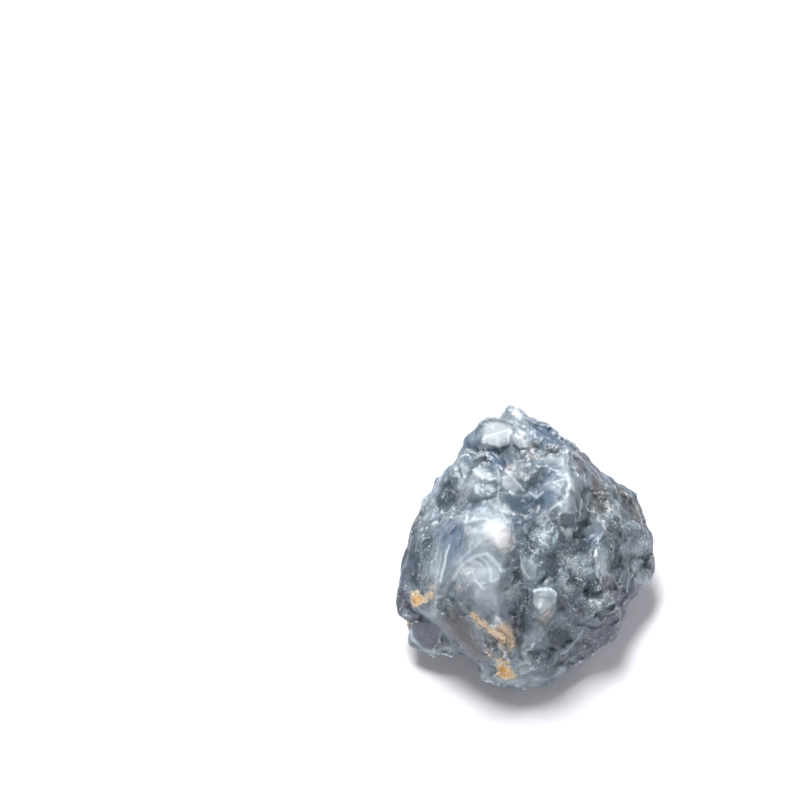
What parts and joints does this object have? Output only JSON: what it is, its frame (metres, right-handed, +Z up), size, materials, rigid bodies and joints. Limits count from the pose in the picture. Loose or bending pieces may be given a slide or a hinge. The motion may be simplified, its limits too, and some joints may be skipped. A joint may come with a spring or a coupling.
{
  "type": "raw blue calcite stone",
  "caption": "Raw lump of pale grey-blue calcite, broken on every side, with a peak, a smooth dome, cleavage ledges and rust-coloured stains, resting on a small flat spot.",
  "frame": {"origin": "the middle of the stone's box, on the table it rests on", "axes": "+Z up; +X to the stone's right and -Y towards the viewer, as the stone is seen with its peak away and its rust stains near"},
  "size_m": [0.062, 0.0622, 0.0421],
  "materials": {
    "calcite_stone": "translucent greyish blue calcite with a waxy to glassy lustre on fresh breaks, milky white veils, sugary white bruises and a few rust-orange limonite stains"
  },
  "bodies": {
    "root": {"calcite_stone": "calcite_stone"}
  },
  "joints": []
}
